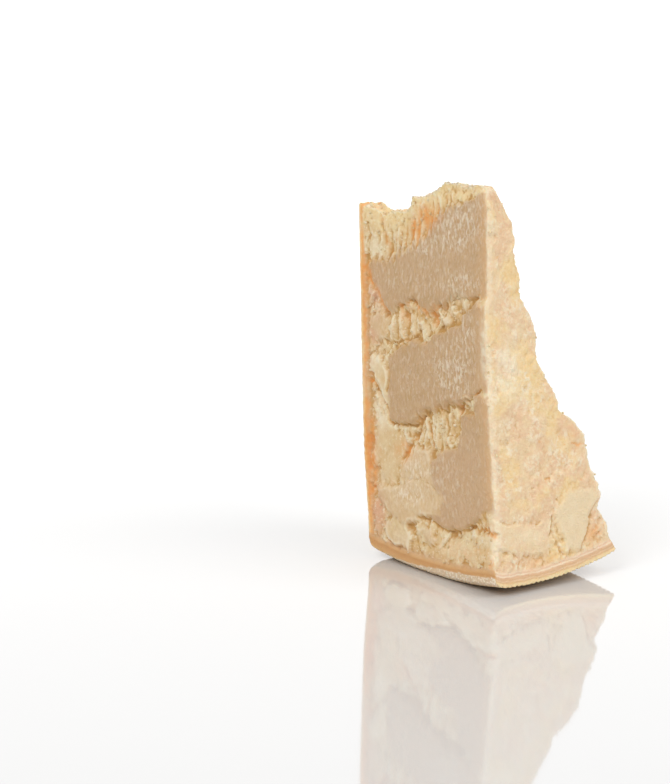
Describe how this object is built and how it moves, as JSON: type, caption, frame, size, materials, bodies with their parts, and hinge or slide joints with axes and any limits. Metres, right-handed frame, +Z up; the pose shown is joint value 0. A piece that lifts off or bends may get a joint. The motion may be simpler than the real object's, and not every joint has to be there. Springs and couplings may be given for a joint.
{
  "type": "hard cheese wedge",
  "caption": "Wedge broken from a wheel of aged hard cheese, standing on its curved rind, with smooth knife panels, crumbly breaks and a natural rind.",
  "frame": {"origin": "centre of the bounding box in X and Y, at the worn flat of the rind that the wedge rests on", "axes": "+Z up as the wedge stands on its rind, -Y towards the mid-wheel cut face, -X towards the panelled face"},
  "size_m": [0.0776, 0.1274, 0.1858],
  "materials": {
    "cheese": "dry, faintly waxy, crumbly cheese with a darker rind"
  },
  "bodies": {
    "root": {"cheese_wedge": "cheese"}
  },
  "joints": []
}
